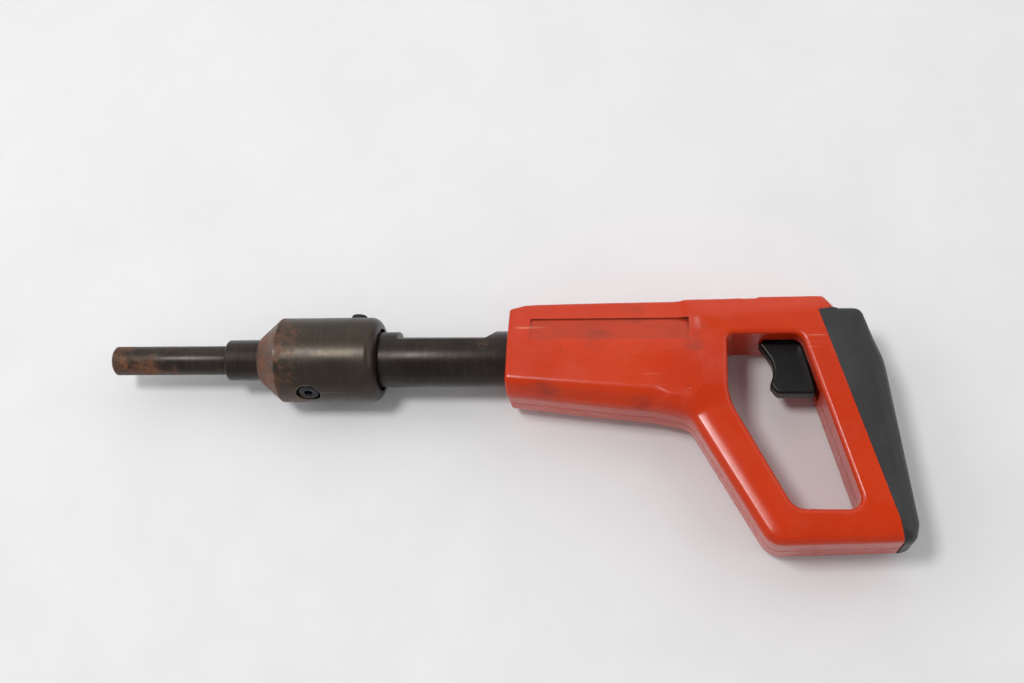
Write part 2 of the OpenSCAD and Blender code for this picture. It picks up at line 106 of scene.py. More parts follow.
TRIGGER = [(112.2, 5.7, 0.5), (120, -6, 11), (117, -13.5, 2), (120, -17.7, 3), (137, -17.7, 1.2),
           (133.5, 0, 3), (131.4, 5.7, 0.8)]
TRIGGER_LEVER = [(119.4, 16.2, 0.2), (119.5, 4.8, 0.2), (131, 4.8, 0.2), (128.5, 11, 1),
                 (123.3, 16.2, 1)]
TRIGGER_ROOM = [(114, 4, 0.2), (126, 4, 0.2), (134, -18.8, 0.2), (144, -18.8, 0.2),
                (133, 10.5, 0.2), (114, 10.5, 0.2)]
TONGUE = [(143.9, -8, 0.2), (156.9, -48, 0.2), (164, -48, 0.2), (151, -8, 0.2)]

# Sections of the body: x, then the top, upper facet, lower facet and bottom heights, and the half
# widths of the side, the top and the bottom
BODY = np.array([(1.3, 20.7, 1.8, -16.2, -20.5, 16.4, 10.4, 10.8),
                 (8.5, 22.2, 1.7, -16.6, -21.3, 18.3, 11.1, 11.2),
                 (14, 22.5, 1.6, -17, -22, 18.5, 11.2, 11.2),
                 (43, 23, 1.2, -19.3, -25.4, 18.5, 11.2, 11.2),
                 (84, 23.4, 0.7, -22.3, -29.4, 18.5, 11.2, 11.2),
                 (100, 23.9, 0, -22, -29, 13.5, 8, 8)])
BODY_EDGE_R = 1.6
FRONT_EDGE_R = 1.3
CEILING = np.array([(1.3, 20.7), (8.5, 22.2), (14, 22.5), (43, 23), (84, 23.4), (112, 24.5),
                    (122, 50)])
SCREWS = [(30, 19), (52, -20.2), (91, -33.5), (119.5, -78.6), (160.5, -78), (133.6, 15.2),
          (151.4, -42)]
RIBS = [(0, 5), (18, 20.5), (58, 61), (70, 78), (81.5, 84)]
TRIGGER_PIVOT = (124, 11)
BREECH_PIN = (74, -8)


# ---- Distance functions, in millimetres and negative inside ----

def rounded(corners, steps=8):
    """The outline's points with an arc at each corner."""
    points = []
    for i, (x, y, r) in enumerate(corners):
        b = np.array((x, y), float)
        before = np.array(corners[i - 1][:2], float) - b
        after = np.array(corners[(i + 1) % len(corners)][:2], float) - b
        before /= np.linalg.norm(before)
        after /= np.linalg.norm(after)
        half = math.acos(float(before @ after)) / 2
        middle = b + (before + after) / np.linalg.norm(before + after) * r / math.sin(half)
        spokes = [b + side * r / math.tan(half) - middle for side in (before, after)]
        start, end = (math.atan2(s[1], s[0]) for s in spokes)
        sweep = (end - start + 3 * math.pi) % (2 * math.pi) - math.pi
        for k in range(steps + 1):
            a = start + sweep * k / steps
            points.append(middle + r * np.array((math.cos(a), math.sin(a))))
    return np.array(points)


def outline(points, x, y):
    """Signed distance to a closed outline in the XY plane."""
    nearest = np.full(np.broadcast(x, y).shape, 1e9)
    inside = np.zeros(nearest.shape, bool)
    for (ax, ay), (bx, by) in zip(points, np.roll(points, -1, axis=0)):
        dx, dy = bx - ax, by - ay
        if dx * dx + dy * dy < 1e-12:
            continue
        t = np.clip(((x - ax) * dx + (y - ay) * dy) / (dx * dx + dy * dy), 0, 1)
        nearest = np.minimum(nearest, (x - ax - t * dx) ** 2 + (y - ay - t * dy) ** 2)
        if ay != by:
            inside ^= ((ay > y) != (by > y)) & (x < ax + (y - ay) * dx / dy)
    return np.where(inside, -1, 1) * np.sqrt(nearest)


def meet(a, b, r):
    """What is inside both, with their edge rounded to radius r."""
    return np.minimum(np.maximum(a, b), -r) + np.hypot(np.maximum(a + r, 0), np.maximum(b + r, 0))


def merge(a, b, k):
    """What is inside either, with a soft fillet of size k between them."""
    h = np.maximum(k - np.abs(a - b), 0) / k
    return np.minimum(a, b) - h * h * k / 4


def block(x, y, z, xs, ys, zs):
    past_x, past_y, past_z = (np.maximum(span[0] - at, at - span[1])
                              for at, span in ((x, xs), (y, ys), (z, zs)))
    return np.maximum(np.maximum(past_x, past_y), past_z)


def rod_x(x, y, z, x0, x1, r, at_y=0):
    return np.maximum(np.hypot(y - at_y, z) - r, np.maximum(x0 - x, x - x1))


def rod_z(x, y, z, at, z0, z1, r):
    return np.maximum(np.hypot(x - at[0], y - at[1]) - r, np.maximum(z0 - z, z - z1))


def union(*fields):
    result = fields[0]
    for f in fields[1:]:
        result = np.minimum(result, f)
    return result


HANDLE_POINTS = rounded(HANDLE)
OPENING_POINTS = rounded(OPENING)
PAD_POINTS = rounded(PAD)
SEAM_POINTS = rounded(BEHIND_SEAM)
TONGUE_POINTS = rounded(TONGUE, 2)
TRIGGER_ROOM_POINTS = rounded(TRIGGER_ROOM, 2)
PANEL_X = (46.7, 35.2)           # middle and half length
PANEL_Y = (8.85, 5.5)


def plane(x, y, z, a, b, c):
    """Signed distance to the plane of a, b and c, positive where they look anticlockwise."""
    a, b, c = np.array(a, float), np.array(b, float), np.array(c, float)
    n = np.cross(b - a, c - a)
    n /= np.linalg.norm(n)
    return n[0] * (x - a[0]) + n[1] * (y - a[1]) + n[2] * (z - a[2])


def soft_max(a, b, k):
    return -merge(-a, -b, k)


def body(x, y, z):
    """The eight-sided front part of the housing without its top, and its upper facet's distance."""
    top, upper, lower, bottom, side, top_w, bottom_w = (
        np.interp(x, BODY[:, 0], BODY[:, i]) for i in range(1, 8))
    low_side = np.where(x < 20, np.interp(x, (1.3, 8.5), (17.9, 18.5)), side)

    def facet(from_y, to_y, side, to_w):
        rise, run = to_y - from_y, side - to_w
        past = (y - from_y) * run * np.sign(rise) + (z - side) * np.abs(rise)
        return past / np.hypot(rise, run)

    upper_facet = facet(upper, top, side, top_w)
    shape = meet(facet(lower, bottom, low_side, bottom_w), bottom - y, BODY_EDGE_R)
    shape = meet(shape, z - np.where(x < 20, 18.5, side), 2.4)
    shape = meet(shape, upper_facet, BODY_EDGE_R)
    cheek = plane(x, y, z, (8.5, 1.7, 18.5), (1.3, 1.8, 16.3), (1.3, -14.5, 18.5))
    shape = soft_max(shape, cheek, 0.35)
    return np.maximum(shape, x - BODY[-1, 0]), upper_facet


def housing_outer(x, y, z):
    """The outer form of both shells, mirrored about z = 0."""
    z = np.abs(z)
    shape, upper_facet = body(x, y, z)
    rim = outline(HANDLE_POINTS, x, y)
    # the handle's face falls away a little towards its rim, and its top edge carries on the facet
    face = soft_max(z - HANDLE_HALF_W, 0.988 * (z - HANDLE_HALF_W) + 0.156 * (rim + 6.6), 0.3)
    handle = meet(rim, face, HANDLE_EDGE_R)
    top_facet = plane(x, y, z, (88, 14.5, 16.6), (142, 19, 16.6), (88, 24, 11.2))
    handle = soft_max(handle, top_facet, 1.2)
    softness = np.interp(y, (-40, -5, 8, 14), (7, 5, 6, 9))
    shape = merge(shape, handle, softness)
    shape = meet(shape, y - np.interp(x, CEILING[:, 0], CEILING[:, 1]), BODY_EDGE_R)
    shape = meet(shape, BODY[0, 0] - x, FRONT_EDGE_R)
    shape = meet(shape, -outline(OPENING_POINTS, x, y), RIM_R)
    shape = np.maximum(shape, -outline(SEAM_POINTS, x, y))
    corner = 0.9
    panel = np.hypot(np.maximum(np.abs(x - PANEL_X[0]) - PANEL_X[1] + corner, 0),
                     np.maximum(np.abs(y - PANEL_Y[0]) - PANEL_Y[1] + corner, 0)) - corner
    depth = np.interp(y, (3.3, 14.4), (0.3, 0.75))
    return np.maximum(shape, -np.maximum(panel, -upper_facet - depth))


def housing_shell(x, y, z, right):
    """Half of the housing, with z measured from the parting plane towards the half's own side."""
    outer = housing_outer(x, y, z)
    ribs = union(*[block(x, y, z, xs, (-40, 40), (-2, 30)) for xs in RIBS],
                 *[block(x, y, z, (at, at + 2), (6, 26), (-2, 20)) for at in (104, 112)],
                 *[rod_z(x, y, z, at, -2, 20, 3.1) for at in SCREWS],
                 *[rod_z(x, y, z, at, 7, 20, 4.8) for at in SCREWS],
                 rod_z(x, y, z, TRIGGER_PIVOT, 4.9, 20, 3.6))
    shell = np.maximum(outer, -np.maximum(outer + WALL, -ribs))
    tilt = -FLAT_TILT if right else FLAT_TILT
    flat_y = y * math.cos(tilt) + z * math.sin(tilt)
    flat_z = z * math.cos(tilt) - y * math.sin(tilt)
    rooms = union(
        rod_x(x, y, z, SLEEVE_FRONT_X, 84, SLEEVE_R + 0.02),
        block(x, y, z, (84, 86.2), (-14.2, 19.2), (-2, 11.2)),
        block(x, y, z, (85.9, 94), (-15, 20.6), (-2, 8)),
        block(x, y, z, (90, 122), (14.4, 18.1), (-2, 4.3)),
        rod_z(x, y, z, TRIGGER_PIVOT, -2, 11.6, 2.02),
        rod_z(x, y, z, BREECH_PIN, -2, 15.2, 2.6),
        np.maximum(outline(TRIGGER_ROOM_POINTS, x, y), z - 6.9),
        np.maximum(outline(TONGUE_POINTS, x, y), z - 2.6),
        block(x, flat_y, flat_z, (4, 46), (13, 19.5), (-4.6, 4.6)),
        *[rod_z(x, y, z, at, -2, 30 if right else 8, 1.8) for at in SCREWS])
    shell = np.maximum(shell, -rooms)
    shell = meet(shell, -rod_x(x, y, z, -5, 3, BARREL_R + 0.4), 0.6)
    if right:
        port = block(x, y, z, (24, 54), (-9, 5), (10, 30))
        heads = union(*[rod_z(x, y, z, at, 8, 30, 3.6) for at in SCREWS])
        shell = meet(shell, -np.minimum(port, heads), 0.4)
    return meet(shell, -z, SEAM_R)


def pad_field(x, y, z):
    z = np.abs(z)
    shape = meet(outline(PAD_POINTS, x, y), z - HANDLE_HALF_W, np.interp(y, (5, 17), PAD_EDGE_R))
    shape = np.maximum(shape, outline(SEAM_POINTS, x, y) + 0.12)
    return np.minimum(shape, np.maximum(outline(TONGUE_POINTS, x, y) + 0.1, z - 2.5))


def trigger_field(x, y, z):
    z = np.abs(z)
    finger = meet(outline(rounded(TRIGGER), x, y), z - 4.5, 1.1)
    lever = np.maximum(outline(rounded(TRIGGER_LEVER, 2), x, y), z - 4)
    boss = rod_z(x, y, z, TRIGGER_PIVOT, -1, 4.5, 4.6)
    nose = rod_z(x, y, z, (121.4, 16.2), -1, 4, 2)
    shape = union(finger, lever, boss, nose)
    shape = np.maximum(shape, -rod_z(x, y, z, TRIGGER_PIVOT, -2, 9, 2.05))
    # the spring stays level while the trigger turns, so its pocket widens downwards
    across, up = x - TRIGGER_PIVOT[0], y - TRIGGER_PIVOT[1]
    for pull in np.radians((0, 3, 6, 9, 12)):
        at_x = TRIGGER_PIVOT[0] + across * math.cos(pull) - up * math.sin(pull)
        at_y = TRIGGER_PIVOT[1] + across * math.sin(pull) + up * math.cos(pull)
        front = 128 + 18 * math.sin(pull)
        shape = np.maximum(shape, -rod_x(at_x, at_y, z, front, 150, 2.7, -8))
    return shape


# ---- Meshes ----

def contour(field, low, high, step):
    """Vertices and quads of the surface where field is 0, with its sharp edges kept."""
    axes = [np.arange(a, b + step, step) for a, b in zip(low, high)]
    shape = [len(a) for a in axes]
    values = np.broadcast_to(field(*np.meshgrid(*axes, indexing="ij", sparse=True)), shape)
    inside = values < 0
    owners, points, normals, quads = [], [], [], []
    for axis in range(3):
        first = tuple(slice(None, -1) if i == axis else slice(None) for i in range(3))
        second = tuple(slice(1, None) if i == axis else slice(None) for i in range(3))
        at = np.argwhere(inside[first] != inside[second])
        outward = inside[first][tuple(at.T)]
        p = np.stack([axes[i][at[:, i]] for i in range(3)], 1)
        near, far = np.zeros(len(p)), np.full(len(p), float(step))
        for _ in range(9):
            middle = (near + far) / 2
            q = p.copy()
            q[:, axis] += middle
            same = (field(*q.T) < 0) == outward
            near, far = np.where(same, middle, near), np.where(same, far, middle)
        p[:, axis] += (near + far) / 2
        n = np.stack([field(*(p + d).T) - field(*(p - d).T) for d in np.eye(3) * 0.01], 1)
        n /= np.maximum(np.linalg.norm(n, axis=1, keepdims=True), 1e-12)
        u, v = (axis + 1) % 3, (axis + 2) % 3
        ring = []
        for du, dv in ((-1, -1), (0, -1), (0, 0), (-1, 0)):
            cell = at.copy()
            cell[:, u] += du
            cell[:, v] += dv
            ring.append(np.ravel_multi_index(cell.T, shape))
        ring = np.stack(ring, 1)
        quads.append(np.where(outward[:, None], ring, ring[:, ::-1]))
        owners.append(ring.T.ravel())
        points.append(np.tile(p, (4, 1)))
        normals.append(np.tile(n, (4, 1)))
    cells, owner = np.unique(np.concatenate(owners), return_inverse=True)
    p, n, total = np.concatenate(points), np.concatenate(normals), len(cells)

    def gather(weights):
        return np.bincount(owner, weights, total)

    middle = np.stack([gather(p[:, i]) for i in range(3)], 1) / gather(np.ones(len(p)))[:, None]
    matrix = np.empty((total, 3, 3))
    for i in range(3):
        for j in range(3):
            matrix[:, i, j] = gather(n[:, i] * n[:, j]) + (0.03 if i == j else 0)
    offset = ((p - middle[owner]) * n).sum(1)
    right = np.stack([gather(n[:, i] * offset) for i in range(3)], 1)
    vertex = middle + np.linalg.solve(matrix, right[:, :, None])[:, :, 0]
    corner = np.stack([axes[i][c] for i, c in enumerate(np.unravel_index(cells, shape))], 1)
    vertex = np.clip(vertex, corner - 0.05 * step, corner + 1.05 * step)
    return vertex, np.searchsorted(cells, np.concatenate(quads))


def mesh_object(name, points, faces, sharp_deg=35):
    """A new object of a closed mesh whose points are in tool coordinates."""
    mesh = bpy.data.meshes.new(name)
    mesh.from_pydata(to_frame(points).tolist(), [], [list(map(int, f)) for f in faces])
    mesh.validate()
    form = bmesh.new()
    form.from_mesh(mesh)
    bmesh.ops.recalc_face_normals(form, faces=form.faces)
    form.to_mesh(mesh)
    form.free()
    obj = bpy.data.objects.new(name, mesh)
    bpy.context.scene.collection.objects.link(obj)
    mesh.shade_smooth()
    mesh.set_sharp_from_angle(angle=math.radians(sharp_deg))
    return obj


def contoured(name, field, low, high, step, mirror=False, box=None):
    """The surface of a field as an object, held inside the box if one is given."""
    points, faces = contour(field, low, high, step)
    if mirror:
        points[:, 2] *= -1
        faces = faces[:, ::-1]
    return mesh_object(name, np.clip(points, *box) if box else points, faces)


def lathe(name, profile, steps=96, at_y=0):
    """A closed profile of (x, radius) pairs turned about the line y = at_y, z = 0."""
    profile = np.array(profile, float)
    angles = np.linspace(0, 2 * math.pi, steps, endpoint=False)
    points = [(x, at_y + r * math.cos(a), r * math.sin(a)) for a in angles for x, r in profile]
    count = len(profile)
    faces = [(i * count + j, i * count + (j + 1) % count,
              (i + 1) % steps * count + (j + 1) % count, (i + 1) % steps * count + j)
             for i in range(steps) for j in range(count)]
    return mesh_object(name, points, faces)


def apply(obj, kind, **settings):
    """Adds a modifier, applies it and shades the result."""
    modifier = obj.modifiers.new(kind, kind)
    for key, value in settings.items():
        setattr(modifier, key, value)
    mesh = bpy.data.meshes.new_from_object(obj.evaluated_get(bpy.context.evaluated_depsgraph_get()))
    obj.modifiers.clear()
    obj.data = mesh
    mesh.shade_smooth()
    mesh.set_sharp_from_angle(angle=math.radians(35))
    return obj


def bevel(obj, width, segments=2, angle=32):
    return apply(obj, "BEVEL", width=width * MM, segments=segments, limit_method="ANGLE",
                 angle_limit=math.radians(angle), use_clamp_overlap=True)


def cut(obj, cutter):
    apply(obj, "BOOLEAN", operation="DIFFERENCE", object=cutter, solver="EXACT")
    bpy.data.objects.remove(cutter)
    return obj


def tube(name, path, radius, sides=10):
    """A closed round wire along a path of points."""
    path = np.array(path, float)
    along = np.gradient(path, axis=0)
    along /= np.linalg.norm(along, axis=1, keepdims=True)
    across = np.cross(along, (0.3, 0.5, 0.81))
    across /= np.linalg.norm(across, axis=1, keepdims=True)
    other = np.cross(along, across)
    turns = np.linspace(0, 2 * math.pi, sides, endpoint=False)
    points = [p + radius * (math.cos(t) * a + math.sin(t) * b)
              for p, a, b in zip(path, across, other) for t in turns]
    last = (len(path) - 1) * sides
    faces = [(i * sides + j, i * sides + (j + 1) % sides,
              (i + 1) * sides + (j + 1) % sides, (i + 1) * sides + j)
             for i in range(len(path) - 1) for j in range(sides)]
    faces += [tuple(reversed(range(sides))), tuple(range(last, last + sides))]
    return mesh_object(name, points, faces, 60)


def spring(name, node, axis, wire_r, turns, body):
    """A compression spring with closed ends in the place of the node's sleeve."""
    low, high = tool_box(node)
    u, v = (axis + 1) % 3, (axis + 2) % 3
    coil_r = (high[u] - low[u]) / 2 - wire_r
    length = high[axis] - low[axis] - 2 * wire_r
    steps = 24 * (turns + 2)
    path = np.zeros((steps + 1, 3))
    share = np.linspace(0, 1, steps + 1)
    turn = share * (turns + 2)
    rise = np.clip((turn - 1) / turns, 0, 1)
    closed = wire_r * 1.6 / length
    path[:, axis] = low[axis] + wire_r + length * (closed * np.clip(turn, 0, 1)
        + (1 - 2 * closed) * rise + closed * np.clip(turn - turns - 1, 0, 1))
    path[:, u] = (low[u] + high[u]) / 2 + coil_r * np.cos(2 * math.pi * turn)
    path[:, v] = (low[v] + high[v]) / 2 + coil_r * np.sin(2 * math.pi * turn)
    obj = tube(name, path, wire_r)
    finish_piece(obj, body, node, "spring_steel")
    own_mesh(obj)
    return obj


# ---- Materials ----

class Nodes:
    """A material's node tree, built with short calls."""

    def __init__(self, name):
        self.material = bpy.data.materials.new(name)
        self.material.use_nodes = True
        self.tree = self.material.node_tree
        self.shader = self.tree.nodes["Principled BSDF"]

    def add(self, kind, output=0, settings=None, **inputs):
        """A node with its inputs set or linked; returns one of its outputs."""
        node = self.tree.nodes.new("ShaderNode" + kind)
        for key, value in (settings or {}).items():
            setattr(node, key, value)
        for key, value in inputs.items():
            self.put(node.inputs[int(key[1:]) if key[0] == "i" and key[1:].isdigit()
                                 else key.replace("_", " ")], value)
        return node.outputs[output]

    def put(self, socket, value):
        if isinstance(value, bpy.types.NodeSocket):
            self.tree.links.new(value, socket)
        elif isinstance(value, (tuple, list)) and len(value) == 3 and socket.type == "RGBA":
            socket.default_value = (*value, 1)
        else:
            socket.default_value = value

    def place(self):
        return self.add("TexCoord", 3)

    def noise(self, scale, detail=4, roughness=0.6, stretch=None):
        """Noise from 0 to 1, scale in lumps per metre."""
        vector = self.place()
        if stretch:
            vector = self.add("Mapping", Vector=vector, Scale=stretch)
        return self.add("TexNoise", Vector=vector, Scale=scale, Detail=detail, Roughness=roughness)

    def ramp(self, value, low, high, to_low=0.0, to_high=1.0):
        """The value's share of the way from low to high, smoothed."""
        return self.add("MapRange", settings={"interpolation_type": "SMOOTHSTEP"}, Value=value,
                        From_Min=low, From_Max=high, To_Min=to_low, To_Max=to_high)

    def math(self, operation, a, b=0.0):
        return self.add("Math", settings={"operation": operation}, i0=a, i1=b)

    def mix(self, share, a, b):
        node = self.tree.nodes.new("ShaderNodeMix")
        node.data_type = "RGBA"
        self.put(node.inputs[0], share)
        self.put(node.inputs[6], a)
        self.put(node.inputs[7], b)
        return node.outputs[2]

    def edges(self, radius, low, high):
        """1 on worn convex edges and 0 elsewhere, by how far the rounded normal turns."""
        soft = self.add("Bevel", settings={"samples": 4}, Radius=radius * MM)
        flat = self.add("NewGeometry", 1)
        dot = self.add("VectorMath", 1, {"operation": "DOT_PRODUCT"}, i0=soft, i1=flat)
        return self.ramp(dot, low, high, 1.0, 0.0)

    def recess(self, distance):
        """1 deep in corners and recesses and 0 in the open, by ambient occlusion; the mask for
        painted shade.
        """
        open_share = self.add("AmbientOcclusion", 1, {"samples": 6, "only_local": True},
                              Distance=distance * MM)
        return self.ramp(open_share, 0.35, 0.95, 1.0, 0.0)

    def near(self, point, radius):
        """1 close to a point in tool coordinates, fading to 0 at the radius."""
        spot = self.add("VectorMath", 1, {"operation": "DISTANCE"}, i0=self.place(),
                        i1=tuple(to_frame(point)))
        return self.ramp(spot, 0.2 * radius * MM, radius * MM, 1.0, 0.0)

    def bump(self, height, depth, strength=1.0, normal=None):
        inputs = {"Normal": normal} if normal else {}
        return self.add("Bump", Strength=strength, Distance=depth * MM, Height=height, **inputs)

    def done(self, **inputs):
        for key, value in inputs.items():
            self.put(self.shader.inputs[key.replace("_", " ")], value)
        return self.material


SCUFFS = [(42, 3, 18, 9), (84, 2.5, 17, 7), (87, 9, 15, 7), (57, 18, 13, 9), (18, -22, 14, 12),
          (96, -27, 16, 4), (60, -26, 12, 8)]
GATE_MARKS = [(26.2, -2.1, 18.5), (81.3, -19.8, 18.5)]


def orange_shell():
    """Glossy moulded plastic: cloudy colour, painted shade in the recesses, scuffs and fine
    scratches.
    """
    n = Nodes("orange_shell")
    cloud = n.ramp(n.noise(22, 3), 0.3, 0.7)
    fine = n.noise(420, 6, 0.7)
    colour = n.mix(cloud, (0.55, 0.034, 0.001), (0.50, 0.027, 0.001))
    dust = n.math("MULTIPLY", n.ramp(n.noise(90, 8, 0.75), 0.48, 0.70), 0.08)
    colour = n.mix(dust, colour, (0.62, 0.19, 0.11))
    # painted shade: darker in corners and recesses by ambient occlusion, broken up by noise; it
    # also roughens them
    recess_shade = n.math("MULTIPLY", n.recess(2.2), n.ramp(fine, 0.3, 0.62, 0.5, 0.85))
    colour = n.mix(recess_shade, colour, (0.10, 0.022, 0.012))
    panel = 1.0
    for axis, (middle, half) in enumerate((PANEL_X, PANEL_Y)):
        place = n.add("SeparateXYZ", axis, i0=n.place())
        off = n.math("ABSOLUTE", n.math("SUBTRACT", place, middle * MM + ORIGIN[axis]))
        inside = n.ramp(off, (half - 0.3) * MM, (half + 0.3) * MM, 1.0, 0.0)
        panel = n.math("MULTIPLY", panel, inside)
    grime = n.ramp(n.noise(130, 6, 0.7, (0.4, 1.6, 1.0)), 0.3, 0.7, 0.16, 0.42)
    colour = n.mix(n.math("MULTIPLY", panel, grime), colour, (0.20, 0.030, 0.012))
    streaks = n.noise(50, 8, 0.75, (0.5, 1.6, 1.0))
    spots = 0.0
    for x, y, z, radius in SCUFFS:
        spots = n.math("MAXIMUM", spots, n.near((x, y, z), radius))
    smudge = n.math("MULTIPLY", spots, n.ramp(streaks, 0.40, 0.66, 0.0, 0.65))
    colour = n.mix(smudge, colour, (0.07, 0.03, 0.022))
    scratches = n.ramp(n.noise(300, 2, 0.5, (0.06, 1.0, 1.0)), 0.69, 0.76)
    scratches = n.math("MULTIPLY", scratches, n.ramp(n.noise(25, 2), 0.5, 0.62))
    colour = n.mix(n.math("MULTIPLY", scratches, 0.35), colour, (0.75, 0.33, 0.22))
    worn = n.math("MULTIPLY", n.edges(0.7, 0.80, 0.97), n.ramp(fine, 0.45, 0.7, 0.0, 0.45))
    colour = n.mix(worn, colour, (0.78, 0.30, 0.18))
    roughness = n.math("ADD", n.ramp(n.noise(60, 5), 0.25, 0.75, 0.18, 0.28),
                       n.math("MULTIPLY", n.math("MAXIMUM", smudge, recess_shade), 0.3))
    ring = 0.0
    for at in GATE_MARKS:
        spot = n.add("VectorMath", 1, {"operation": "DISTANCE"}, i0=n.place(),
                     i1=tuple(to_frame(at)))
        ring = n.math("ADD", ring, n.math("MULTIPLY", n.ramp(spot, 0.5 * MM, 0.9 * MM),
                                          n.ramp(spot, 0.9 * MM, 1.4 * MM, 1.0, 0.0)))
    height = n.math("ADD", n.math("MULTIPLY", fine, 0.15), n.math("MULTIPLY", ring, -4.0))
    height = n.math("SUBTRACT", height, n.math("MULTIPLY", scratches, 0.5))
    return n.done(Base_Color=colour, Roughness=roughness, Specular_IOR_Level=0.36,
                  Normal=n.bump(height, 0.06))


def rubber(name, dark, light, roughness, shine=0.45):
    """Matte moulded rubber with a fine grain, pale dust and greasy patches."""
    n = Nodes(name)
    grain = n.noise(1500, 3, 0.6)
    patches = n.ramp(n.noise(35, 5), 0.35, 0.7)
    colour = n.mix(patches, dark, light)
    dust = n.math("MULTIPLY", n.ramp(n.noise(260, 8, 0.8), 0.55, 0.72), 0.3)
    colour = n.mix(dust, colour, tuple(3.0 * c for c in light))
    worn = n.math("MULTIPLY", n.edges(0.8, 0.8, 0.97), 0.4)
    colour = n.mix(worn, colour, tuple(2.2 * c for c in light))
    rough = n.ramp(patches, 0.0, 1.0, roughness - 0.06, roughness + 0.06)
    return n.done(Base_Color=colour, Roughness=rough, Specular_IOR_Level=shine,
                  Normal=n.bump(grain, 0.05, 0.6))


def patina_steel(name, rust_from, rust_to, rust_share, light=1.0, pale=None, cone=None):
    """Dark steel: brown and grey patina, rust that grows towards rust_to, bright worn edges.

    Between the two X positions pale it is worn lighter, and in front of cone it is pinkish."""
    n = Nodes(name)
    where = n.add("SeparateXYZ", 0, i0=n.place())

    def along(x0, x1, at_x0, at_x1):
        x0, x1 = (float(to_frame((x, 0, 0))[0]) for x in (x0, x1))
        if x0 > x1:
            x0, x1, at_x0, at_x1 = x1, x0, at_x1, at_x0
        return n.ramp(where, x0, x1, at_x0, at_x1)

    cloud = n.ramp(n.noise(28, 6, 0.65), 0.32, 0.68)
    colour = n.mix(cloud, tuple(light * c for c in (0.024, 0.0165, 0.0135)),
                   tuple(light * c for c in (0.046, 0.036, 0.029)))
    if pale:
        worn_away = n.math("MULTIPLY", along(pale[0] - 1, pale[0] + 1, 0.0, 1.0),
                           along(pale[1] - 1, pale[1] + 1, 1.0, 0.0))
        worn_away = n.math("MULTIPLY", worn_away, n.ramp(n.noise(55, 6, 0.7), 0.25, 0.7, 0.55, 1.0))
        colour = n.mix(worn_away, colour, (0.052, 0.040, 0.029))
    turned = n.noise(90, 4, 0.7, (9.0, 0.5, 0.5))
    colour = n.mix(n.ramp(turned, 0.45, 0.75, 0.0, 0.16), colour,
                   tuple(light * c for c in (0.13, 0.11, 0.09)))
    if cone:
        colour = n.mix(along(cone + 0.5, cone - 0.5, 0.0, 0.85), colour, (0.155, 0.105, 0.088))
    patch = n.math("ADD", n.noise(45, 8, 0.72), along(rust_from, rust_to, 0.0, rust_share))
    rust = n.ramp(patch, 0.60, 0.76)
    rust_colour = n.mix(n.ramp(n.noise(170, 6, 0.8), 0.35, 0.65), (0.065, 0.024, 0.011),
                        (0.23, 0.080, 0.028))
    colour = n.mix(n.math("MULTIPLY", rust, 0.8), colour, rust_colour)
    speck = n.ramp(n.noise(900, 2, 0.5), 0.71, 0.80)
    colour = n.mix(n.math("MULTIPLY", speck, 0.35), colour, (0.34, 0.29, 0.24))
    worn = n.math("MULTIPLY", n.edges(0.5, 0.86, 0.985),
                  n.ramp(n.noise(160, 5), 0.38, 0.6, 0.15, 0.8))
    colour = n.mix(worn, colour, (0.44, 0.40, 0.34))
    # painted shade: near black in corners and recesses by ambient occlusion, which also makes them
    # less metallic
    recess_shade = n.math("MULTIPLY", n.recess(1.6), 0.7)
    colour = n.mix(recess_shade, colour, (0.010, 0.008, 0.006))
    metal = n.math("SUBTRACT", 0.6, n.math("MULTIPLY", n.math("MAXIMUM", rust, recess_shade), 0.55))
    rough = n.math("ADD", n.ramp(n.noise(70, 6, 0.7), 0.3, 0.7, 0.28, 0.40),
                   n.math("MULTIPLY", rust, 0.32))
    height = n.math("ADD", n.math("MULTIPLY", n.noise(700, 6, 0.75), 0.5),
                    n.math("MULTIPLY", turned, 0.3))
    height = n.math("ADD", height, n.math("MULTIPLY", rust, 0.8))
    return n.done(Base_Color=colour, Metallic=metal, Roughness=rough, Specular_IOR_Level=0.4,
                  Normal=n.bump(height, 0.04, 0.8))


def bright_steel(name, tint, roughness, stretch=(8.0, 0.6, 0.6)):
    """Ground or drawn steel: fine tool marks, oil stains, a few dull spots and painted shade in its
    recesses.
    """
    n = Nodes(name)
    marks = n.noise(500, 4, 0.7, stretch)
    stain = n.ramp(n.noise(60, 6, 0.7), 0.45, 0.72)
    colour = n.mix(n.math("MULTIPLY", stain, 0.6), tint, tuple(0.45 * c for c in tint))
    colour = n.mix(n.ramp(marks, 0.45, 0.7, 0.0, 0.3), colour, tuple(0.7 * c for c in tint))
    # painted shade: darker in corners and recesses by ambient occlusion
    colour = n.mix(n.math("MULTIPLY", n.recess(1.0), 0.6), colour, tuple(0.15 * c for c in tint))
    rough = n.ramp(marks, 0.3, 0.7, roughness - 0.06, roughness + 0.10)
    return n.done(Base_Color=colour, Metallic=0.95, Roughness=rough,
                  Normal=n.bump(marks, 0.02, 0.7))


def black_screw():
    """Black oxide, rubbed bright on its edges, with a little brown rust."""
    n = Nodes("screw_black")
    colour = n.mix(n.ramp(n.noise(240, 5), 0.4, 0.7), (0.016, 0.016, 0.019), (0.040, 0.040, 0.046))
    colour = n.mix(n.ramp(n.noise(330, 6, 0.7), 0.62, 0.72, 0.0, 0.6), colour, (0.12, 0.045, 0.02))
    colour = n.mix(n.math("MULTIPLY", n.edges(0.3, 0.85, 0.98), 0.6), colour, (0.25, 0.25, 0.27))
    return n.done(Base_Color=colour, Metallic=0.7,
                  Roughness=n.ramp(n.noise(400, 4), 0.3, 0.7, 0.30, 0.48),
                  Normal=n.bump(n.noise(1200, 3), 0.03, 0.5))


